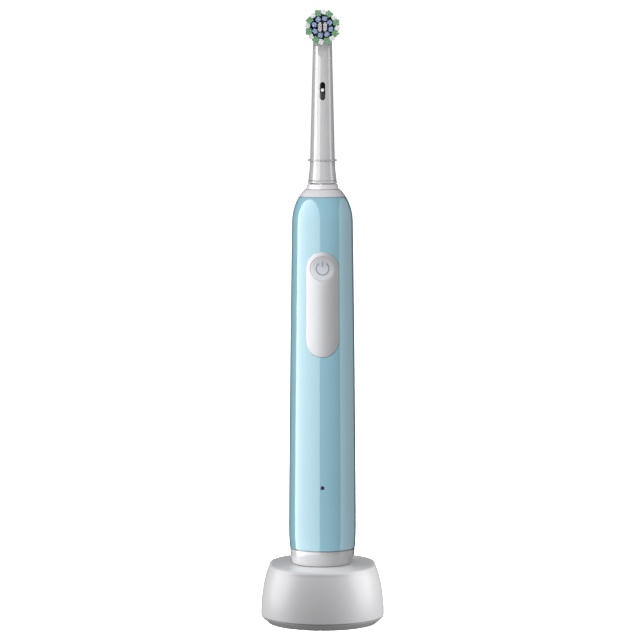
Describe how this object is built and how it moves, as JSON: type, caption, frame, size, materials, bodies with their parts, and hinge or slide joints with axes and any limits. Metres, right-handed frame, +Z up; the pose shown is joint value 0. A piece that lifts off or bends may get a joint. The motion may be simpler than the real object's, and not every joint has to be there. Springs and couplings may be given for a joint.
{
  "type": "electric toothbrush on charger",
  "caption": "Rechargeable toothbrush with a round swinging bristle head, slim tapered handle with an oblong button pad, standing on the peg of a low oval charger.",
  "frame": {"origin": "centre of the charger's underside", "axes": "+Z up along the toothbrush; -Y is the front, with the button and the bristles; +X is to the right seen from the front"},
  "size_m": [0.0526, 0.0632, 0.2606],
  "materials": {
    "charger_white": "gloss",
    "base_grey": "satin",
    "aqua": "gloss",
    "silver_grey": "gloss",
    "white_plastic": "gloss",
    "soft_pad": "satin",
    "teal_mark": "matte",
    "clear_light": "clear",
    "grey_plastic": "gloss",
    "black_plastic": "gloss",
    "inner_white": "matte",
    "inner_grey": "matte",
    "green_nylon": "matte",
    "blue_nylon": "matte",
    "white_nylon": "matte",
    "seal_rubber": "matte",
    "steel": "polished",
    "nickel": "satin",
    "bronze": "satin",
    "ferrite": "matte",
    "copper": "satin",
    "board": "matte",
    "component": "matte",
    "can_blue": "satin",
    "film_brown": "matte",
    "cell_green": "satin",
    "led_green": "matte"
  },
  "bodies": {
    "charger": {"charger_housing": "charger_white", "charger_base_plate": "base_grey", "charger_pcb": "board", "coil_bobbin": "inner_grey", "primary_coil": "copper", "ferrite_rod": "ferrite", "charger_electrolytic": "can_blue", "charger_film_capacitor": "film_brown", "charger_semiconductors": "component", "fuse_resistor": "film_brown", "cord_gland": "seal_rubber"},
    "handle": {"handle_housing": "aqua", "bottom_cap": "silver_grey", "bottom_seal": "seal_rubber", "neck_collar": "white_plastic", "neck_spout": "white_plastic", "shaft_seal": "seal_rubber", "control_panel": "soft_pad", "coil_former": "inner_grey", "secondary_coil": "copper", "chassis": "inner_white", "battery": "cell_green", "battery_tabs": "nickel", "motor_can": "steel", "motor_end_cap": "inner_white", "motor_magnets": "ferrite", "motor_bushings": "bronze", "motor_terminals": "nickel", "motor_screws": "steel", "crank_axle": "steel", "shaft_carrier": "inner_grey", "carrier_screws": "steel", "shaft_bushings": "bronze", "handle_pcb": "board", "pcb_components": "component", "tact_switch": "inner_grey", "led": "led_green", "light_pipe": "clear_light"},
    "button": {"power_button": "soft_pad", "power_icon": "teal_mark"},
    "plunger": {"switch_plunger": "black_plastic"},
    "rotor": {"motor_rotor": "steel", "motor_pinion": "bronze"},
    "crank": {"crank_gear": "inner_white"},
    "shaft": {"drive_shaft": "steel", "rocker": "steel"},
    "conrod": {"connecting_rod": "inner_white"},
    "brush_head": {"head_neck": "white_plastic", "head_end_cap": "grey_plastic", "head_id_ring": "grey_plastic", "neck_inlay": "black_plastic", "rod_bush": "inner_white", "disc_axle": "steel"},
    "head_drive": {"head_coupler": "inner_white", "drive_rod": "steel"},
    "bristle_disc": {"bristle_carrier": "grey_plastic", "green_tufts": "green_nylon", "white_outer_tufts": "white_nylon", "blue_tufts": "blue_nylon", "white_centre_tufts": "white_nylon"}
  },
  "joints": [
    {"name": "handle_lift", "type": "slide", "parent": "charger", "child": "handle", "axis": [0, 0, 1], "range_m": [0, 0.03]},
    {"name": "head_pull", "type": "slide", "parent": "handle", "child": "brush_head", "axis": [0, 0, 1], "range_m": [0, 0.03]},
    {"name": "button_press", "type": "slide", "parent": "handle", "child": "button", "axis": [0, 1, 0], "range_m": [0, 0.0004], "stiffness_N_per_m": 4000, "springref_m": -0.0004},
    {"name": "plunger_press", "type": "slide", "parent": "handle", "child": "plunger", "axis": [0, 1, 0], "range_m": [0, 0.0004]},
    {"name": "motor_spin", "type": "hinge", "parent": "handle", "child": "rotor", "pos_m": [0, 0, 0.1209], "axis": [0, 0, 1], "continuous": true},
    {"name": "crank_spin", "type": "hinge", "parent": "handle", "child": "crank", "pos_m": [0, 0.00525, 0.1352], "axis": [0, 0, 1], "continuous": true},
    {"name": "shaft_swing", "type": "hinge", "parent": "handle", "child": "shaft", "pos_m": [0, 0, 0.1419], "axis": [0, 0, 1], "range_deg": [-14.5, 14.5]},
    {"name": "conrod_swing", "type": "hinge", "parent": "shaft", "child": "conrod", "pos_m": [0.00254, 0.00195, 0.1402], "axis": [0, 0, 1], "range_deg": [-14.5, 14.5]},
    {"name": "head_rod_swing", "type": "hinge", "parent": "brush_head", "child": "head_drive", "pos_m": [0, 0, 0.1886], "axis": [0, 0, 1], "range_deg": [-14.5, 14.5]},
    {"name": "disc_swing", "type": "hinge", "parent": "brush_head", "child": "bristle_disc", "pos_m": [0, 0, 0.2534], "axis": [0, 1, 0], "range_deg": [-21.12, 21.12]}
  ],
  "couplings": [
    {"joint": "plunger_press", "follows": "button_press", "ratio": 1},
    {"joint": "crank_spin", "follows": "motor_spin", "ratio": -0.5},
    {"joint": "conrod_swing", "follows": "shaft_swing", "ratio": -1},
    {"joint": "head_rod_swing", "follows": "shaft_swing", "ratio": 1},
    {"joint": "disc_swing", "follows": "shaft_swing", "ratio": -1.45}
  ]
}
